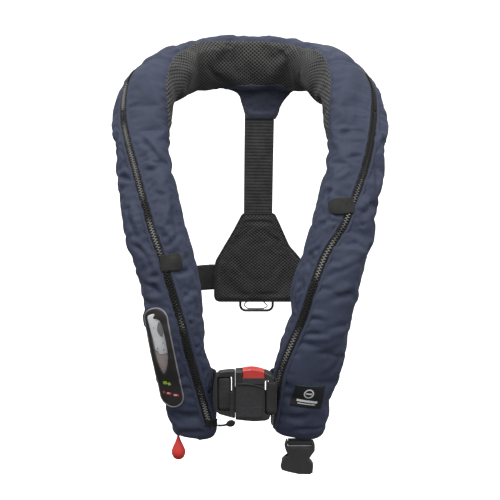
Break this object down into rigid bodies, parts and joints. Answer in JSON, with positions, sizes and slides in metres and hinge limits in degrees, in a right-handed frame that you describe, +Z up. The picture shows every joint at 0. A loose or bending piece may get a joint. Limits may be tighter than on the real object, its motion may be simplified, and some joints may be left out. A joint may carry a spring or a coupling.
{
  "type": "inflatable life jacket",
  "caption": "Horseshoe-shaped inflatable life jacket with a zipped padded cover, mesh collar lining, back strap and pad, waist belt, push-button buckle, pull handle and crotch-strap buckle.",
  "frame": {"origin": "middle of the collar's lining at the back of the neck, where the jacket sits on its wearer's nape", "axes": "+Z up, -Y towards the wearer's front, +X towards the wearer's left hand"},
  "size_m": [0.3671, 0.3229, 0.5572],
  "materials": {
    "cover_fabric": "plain-weave coated nylon",
    "mesh_lining": "knitted spacer mesh",
    "webbing": "ribbed polyester webbing",
    "bladder_coat": "coated nylon",
    "inflator_plastic": "moulded, satin",
    "indicator_plastic": "dark oval lens",
    "dark_plastic": "moulded",
    "cylinder_paint": "satin",
    "steel": "drawn wire",
    "red_plastic": "satin moulded",
    "whistle_plastic": "moulded",
    "lanyard_cord": "braided cord",
    "panel_film": "coated film",
    "piping": "reflective piping",
    "clear_film": "clear film",
    "zip_tape": "woven tape",
    "zip_teeth": "moulded teeth",
    "patch_print": "plain printed patch",
    "buckle_plastic": "satin moulded acetal"
  },
  "bodies": {
    "root": {"cover_front_left": "cover_fabric", "cover_back_left": "cover_fabric", "cover_collar": "cover_fabric", "cover_front_right": "cover_fabric", "cover_back_right": "cover_fabric", "yoke_flap": "cover_fabric", "hem_left": "cover_fabric", "hem_right": "cover_fabric", "collar_lining": "mesh_lining", "back_pad": "mesh_lining", "back_strap": "webbing", "belt_back": "webbing", "belt_left": "webbing", "belt_left_end": "webbing", "belt_right": "webbing", "belt_right_end": "webbing", "belt_loop_right": "webbing", "ring_loop": "webbing", "crotch_loop": "webbing", "tab_left": "webbing", "tab_right": "webbing", "bladder": "bladder_coat", "inflator_body": "inflator_plastic", "indicator": "indicator_plastic", "firing_cartridge": "dark_plastic", "manifold_nut": "dark_plastic", "oral_tube": "dark_plastic", "oral_mouthpiece": "dark_plastic", "zip_garage": "dark_plastic", "gas_cylinder": "cylinder_paint", "lever_pin": "steel", "zip_slider": "steel", "button_spring": "steel", "oral_valve_spring": "steel", "whistle": "whistle_plastic", "inspection_panel": "panel_film", "panel_piping": "piping", "panel_window": "clear_film", "zip_tape_left": "zip_tape", "zip_tape_collar": "zip_tape", "zip_tape_right": "zip_tape", "zip_teeth_left": "zip_teeth", "zip_teeth_collar": "zip_teeth", "zip_teeth_right": "zip_teeth", "patch": "patch_print", "buckle_socket": "buckle_plastic"},
    "tongue": {"buckle_tongue": "buckle_plastic", "belt_loop_left": "webbing"},
    "button": {"release_button": "red_plastic"},
    "crotch_buckle": {"crotch_buckle": "buckle_plastic"},
    "handle": {"pull_handle": "red_plastic", "pull_lanyard": "lanyard_cord"},
    "lever": {"inflator_lever": "dark_plastic"},
    "ring": {"wire_ring": "steel", "ring_link": "steel"},
    "zip_tab": {"zip_pull": "dark_plastic"},
    "oral_valve": {"oral_valve": "dark_plastic"}
  },
  "joints": [
    {"name": "buckle_release", "type": "slide", "parent": "root", "child": "tongue", "axis": [-1, 0, 0], "range_m": [0, 0.018]},
    {"name": "button_press", "type": "slide", "parent": "root", "child": "button", "axis": [0, 0, -1], "range_m": [0, 0.004], "stiffness_N_per_m": 800, "deforming": ["button_spring"]},
    {"name": "crotch_buckle_swing", "type": "hinge", "parent": "root", "child": "crotch_buckle", "pos_m": [0.062, -0.236, -0.4766], "axis": [1, 0, 0], "range_deg": [-70, 70]},
    {"name": "handle_pull", "type": "slide", "parent": "root", "child": "handle", "axis": [0, 0, -1], "range_m": [0, 0.03]},
    {"name": "lever_turn", "type": "hinge", "parent": "root", "child": "lever", "pos_m": [-0.1105, -0.23292, -0.34526], "axis": [-0.9729, 0.1282, -0.1923], "range_deg": [-36, 0]},
    {"name": "ring_swing", "type": "hinge", "parent": "root", "child": "ring", "pos_m": [0.00885, 0.0462, -0.356], "axis": [1, 0, 0], "range_deg": [-8, 80]},
    {"name": "zip_tab_swing", "type": "hinge", "parent": "root", "child": "zip_tab", "pos_m": [-0.0384, -0.243, -0.4502], "axis": [0, 1, 0], "range_deg": [-25, 85]},
    {"name": "oral_valve_press", "type": "slide", "parent": "root", "child": "oral_valve", "axis": [-0.2815, -0.3042, -0.91], "range_m": [0, 0.003], "stiffness_N_per_m": 600}
  ],
  "couplings": [
    {"joint": "lever_turn", "follows": "handle_pull", "rad_per_m": -20.36}
  ]
}
